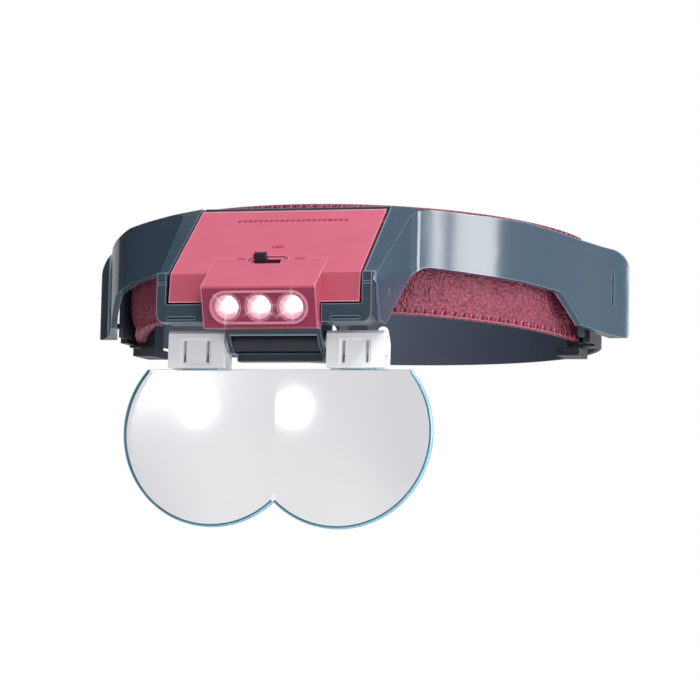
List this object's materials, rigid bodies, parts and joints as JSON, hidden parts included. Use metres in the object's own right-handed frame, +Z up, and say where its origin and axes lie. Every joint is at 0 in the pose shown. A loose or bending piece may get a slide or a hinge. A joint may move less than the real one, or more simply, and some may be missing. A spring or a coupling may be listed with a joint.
{
  "type": "head visor magnifier",
  "caption": "Head-worn magnifier: padded headband with rear strap, lamp and battery housing over the brow, and a flip-up twin lens in snap clips.",
  "frame": {"origin": "middle of the head opening, level with the middle of the side arms", "axes": "+Z up when worn, -Y the way the wearer looks, +X towards the wearer's left temple"},
  "size_m": [0.1894, 0.22, 0.1039],
  "materials": {
    "frame_plastic": "moulded, glossy blue-grey",
    "red_plastic": "moulded, satin red",
    "red_leather": "pebbled grain, stitched",
    "strap_plastic": "satin dark",
    "black_plastic": "satin black",
    "white_plastic": "moulded, satin white",
    "lens_acrylic": "polished clear, bevelled edge",
    "screw_steel": "plated",
    "contact_metal": "nickel plated",
    "reflector_chrome": "mirror",
    "lamp_resin": "clear resin",
    "board_green": "solder mask",
    "wire_sleeve": "soft insulation",
    "cell_wrap": "printed film",
    "pad_foam": "open-cell foam"
  },
  "bodies": {
    "headband": {"arm_rivets": "screw_steel", "front_housing": "frame_plastic", "left_arm": "frame_plastic", "right_arm": "frame_plastic", "arm_screws": "screw_steel", "upper_battery": "cell_wrap", "lower_battery": "cell_wrap", "battery_cradle": "black_plastic", "battery_contacts": "contact_metal", "contact_springs": "contact_metal", "hinge_bracket": "frame_plastic", "hinge_barrel": "black_plastic", "friction_washers": "screw_steel", "leather_sleeve": "red_leather", "inner_band": "black_plastic", "forehead_foam": "pad_foam", "band_rivets": "screw_steel", "temple_rivets": "screw_steel", "left_buckle": "black_plastic", "right_buckle": "black_plastic"},
    "cover": {"battery_cover": "red_plastic", "cover_hinge_pins": "screw_steel", "led_bezel": "red_plastic", "led_reflectors": "reflector_chrome", "leds": "lamp_resin", "led_board": "board_green", "led_wires": "wire_sleeve", "switch_body": "black_plastic"},
    "switch_slider": {"switch_knob": "black_plastic"},
    "lens_mount": {"left_clip": "white_plastic", "right_clip": "white_plastic", "hinge_axle": "screw_steel"},
    "lens": {"lens_plate": "lens_acrylic"},
    "rear_strap": {"rear_strap_left": "strap_plastic", "rear_strap_right": "strap_plastic", "strap_pegs": "black_plastic"}
  },
  "joints": [
    {"name": "cover_hinge", "type": "hinge", "parent": "headband", "child": "cover", "pos_m": [0, -0.0918, 0.0126], "axis": [-1, 0, 0], "range_deg": [0, 70]},
    {"name": "switch_travel", "type": "slide", "parent": "cover", "child": "switch_slider", "axis": [1, 0, 0], "range_m": [0, 0.0042]},
    {"name": "lens_flip", "type": "hinge", "parent": "headband", "child": "lens_mount", "pos_m": [0, -0.103, -0.025], "axis": [-1, 0, 0], "range_deg": [-8, 80]},
    {"name": "lens_release", "type": "slide", "parent": "lens_mount", "child": "lens", "axis": [0, -0.0349, -0.9994], "range_m": [0, 0.012]},
    {"name": "strap_adjust", "type": "slide", "parent": "headband", "child": "rear_strap", "axis": [0, 1, 0], "range_m": [0, 0.015]}
  ]
}
